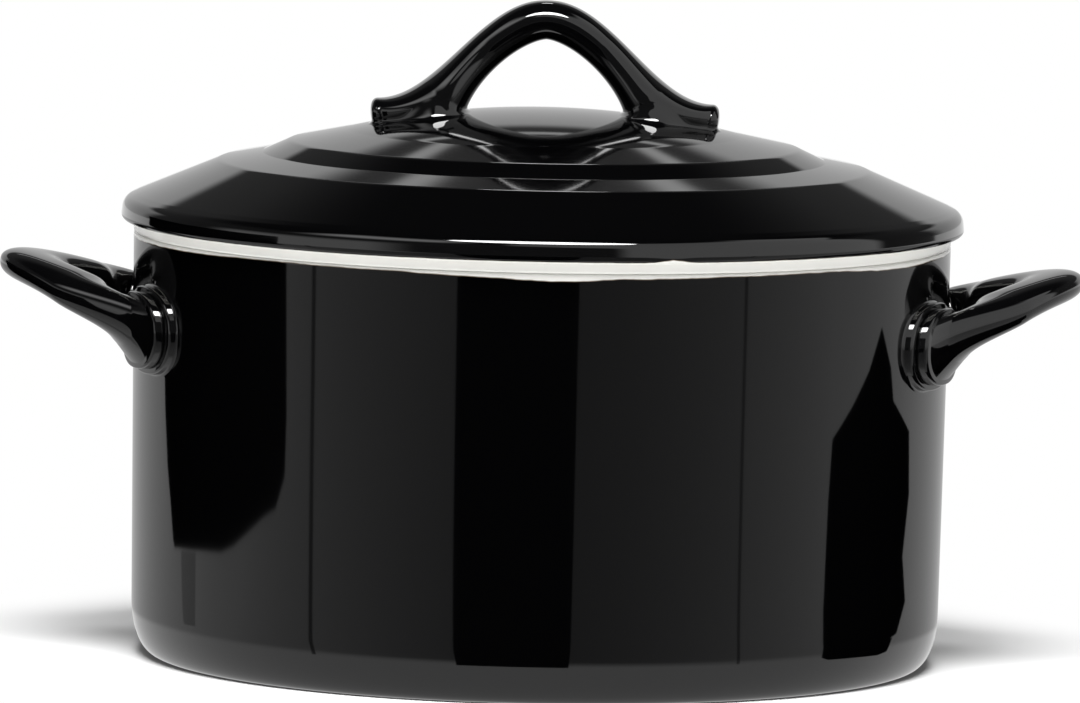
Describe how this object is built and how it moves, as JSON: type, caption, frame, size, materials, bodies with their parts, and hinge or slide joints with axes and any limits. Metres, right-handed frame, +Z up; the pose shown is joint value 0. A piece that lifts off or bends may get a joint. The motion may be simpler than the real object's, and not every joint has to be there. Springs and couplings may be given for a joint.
{
  "type": "casserole pot with lid",
  "caption": "Round straight-walled casserole pot with a stepped domed lid, an arch handle on the lid and a loop handle on each side, in glossy black enamelled steel.",
  "frame": {"origin": "middle of the pot's base, on the surface that it stands on", "axes": "+Z up along the pot's axis; the two side handles lie along +X and -X, and the lid handle's arch spans X"},
  "size_m": [0.3238, 0.2516, 0.1967],
  "materials": {
    "pot_enamel": "glossy black vitreous enamel on sheet steel outside, white enamel inside and round the rim",
    "lid_enamel": "glossy black vitreous enamel on sheet steel on top, white enamel on the skirt and underneath",
    "handle_enamel": "glossy black vitreous enamel on steel"
  },
  "bodies": {
    "root": {"pot_body": "pot_enamel", "lid_shell": "lid_enamel", "lid_handle": "handle_enamel", "side_handle_right": "handle_enamel", "side_handle_left": "handle_enamel"}
  },
  "joints": []
}
